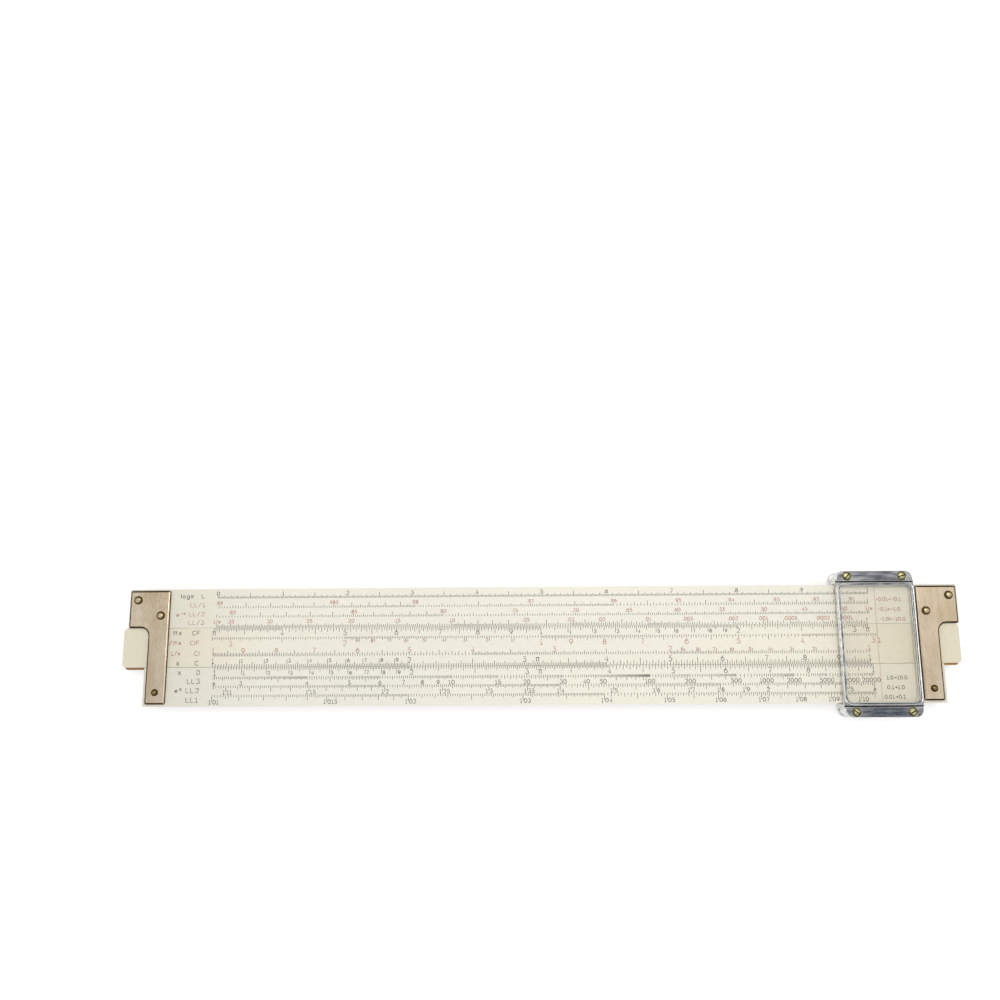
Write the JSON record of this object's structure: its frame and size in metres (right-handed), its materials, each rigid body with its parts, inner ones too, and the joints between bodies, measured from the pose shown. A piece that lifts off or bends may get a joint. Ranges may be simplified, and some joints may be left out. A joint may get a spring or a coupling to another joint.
{
  "type": "slide rule",
  "caption": "Ten-inch duplex slide rule: bamboo stators and slide faced with celluloid, L-shaped metal end brackets, sliding cursor with a window on each side.",
  "frame": {"origin": "under the middle of the rule's body, at the height of the cursor's back face, which is the lowest face", "axes": "+X along the rule towards its right end, +Y across it towards its upper edge, +Z out of the front face"},
  "size_m": [0.3199, 0.055, 0.011],
  "materials": {
    "celluloid": "semi-gloss cream celluloid with engraved scales",
    "bamboo": "planed laminated bamboo, bare at the edges",
    "nickel_silver": "nickel silver brushed across the rule, warm with age",
    "polished_nickel": "polished fasteners",
    "chrome": "bright chromium plate",
    "brass": "turned brass screws",
    "spring_bronze": "rolled leaf",
    "window_glass": "clear polished glass with a fine hairline"
  },
  "bodies": {
    "rule_body": {"upper_stator_core": "bamboo", "upper_stator_front_face": "celluloid", "upper_stator_back_face": "celluloid", "lower_stator_core": "bamboo", "lower_stator_front_face": "celluloid", "lower_stator_back_face": "celluloid", "left_front_bracket": "nickel_silver", "left_back_bracket": "nickel_silver", "right_front_bracket": "nickel_silver", "right_back_bracket": "nickel_silver", "left_outer_post": "polished_nickel", "left_inner_post": "polished_nickel", "right_outer_post": "polished_nickel", "right_inner_post": "polished_nickel", "left_outer_back_screw": "polished_nickel", "left_inner_back_screw": "polished_nickel", "right_outer_back_screw": "polished_nickel", "right_inner_back_screw": "polished_nickel", "left_rivet": "polished_nickel", "right_rivet": "polished_nickel"},
    "slide": {"slide_core": "bamboo", "slide_front_face": "celluloid", "slide_back_face": "celluloid"},
    "cursor": {"cursor_front_frame": "chrome", "cursor_back_frame": "chrome", "cursor_front_glass": "window_glass", "cursor_back_glass": "window_glass", "cursor_upper_rail": "chrome", "cursor_lower_rail": "chrome", "cursor_spring": "spring_bronze", "cursor_front_upper_left_screw": "brass", "cursor_front_upper_right_screw": "brass", "cursor_front_lower_left_screw": "brass", "cursor_front_lower_right_screw": "brass", "cursor_back_upper_left_screw": "brass", "cursor_back_upper_right_screw": "brass", "cursor_back_lower_left_screw": "brass", "cursor_back_lower_right_screw": "brass"}
  },
  "joints": [
    {"name": "slide_travel", "type": "slide", "parent": "rule_body", "child": "slide", "axis": [1, 0, 0], "range_m": [-0.24907, 0.25093]},
    {"name": "cursor_travel", "type": "slide", "parent": "rule_body", "child": "cursor", "axis": [1, 0, 0], "range_m": [-0.25565, 0.00085]}
  ]
}
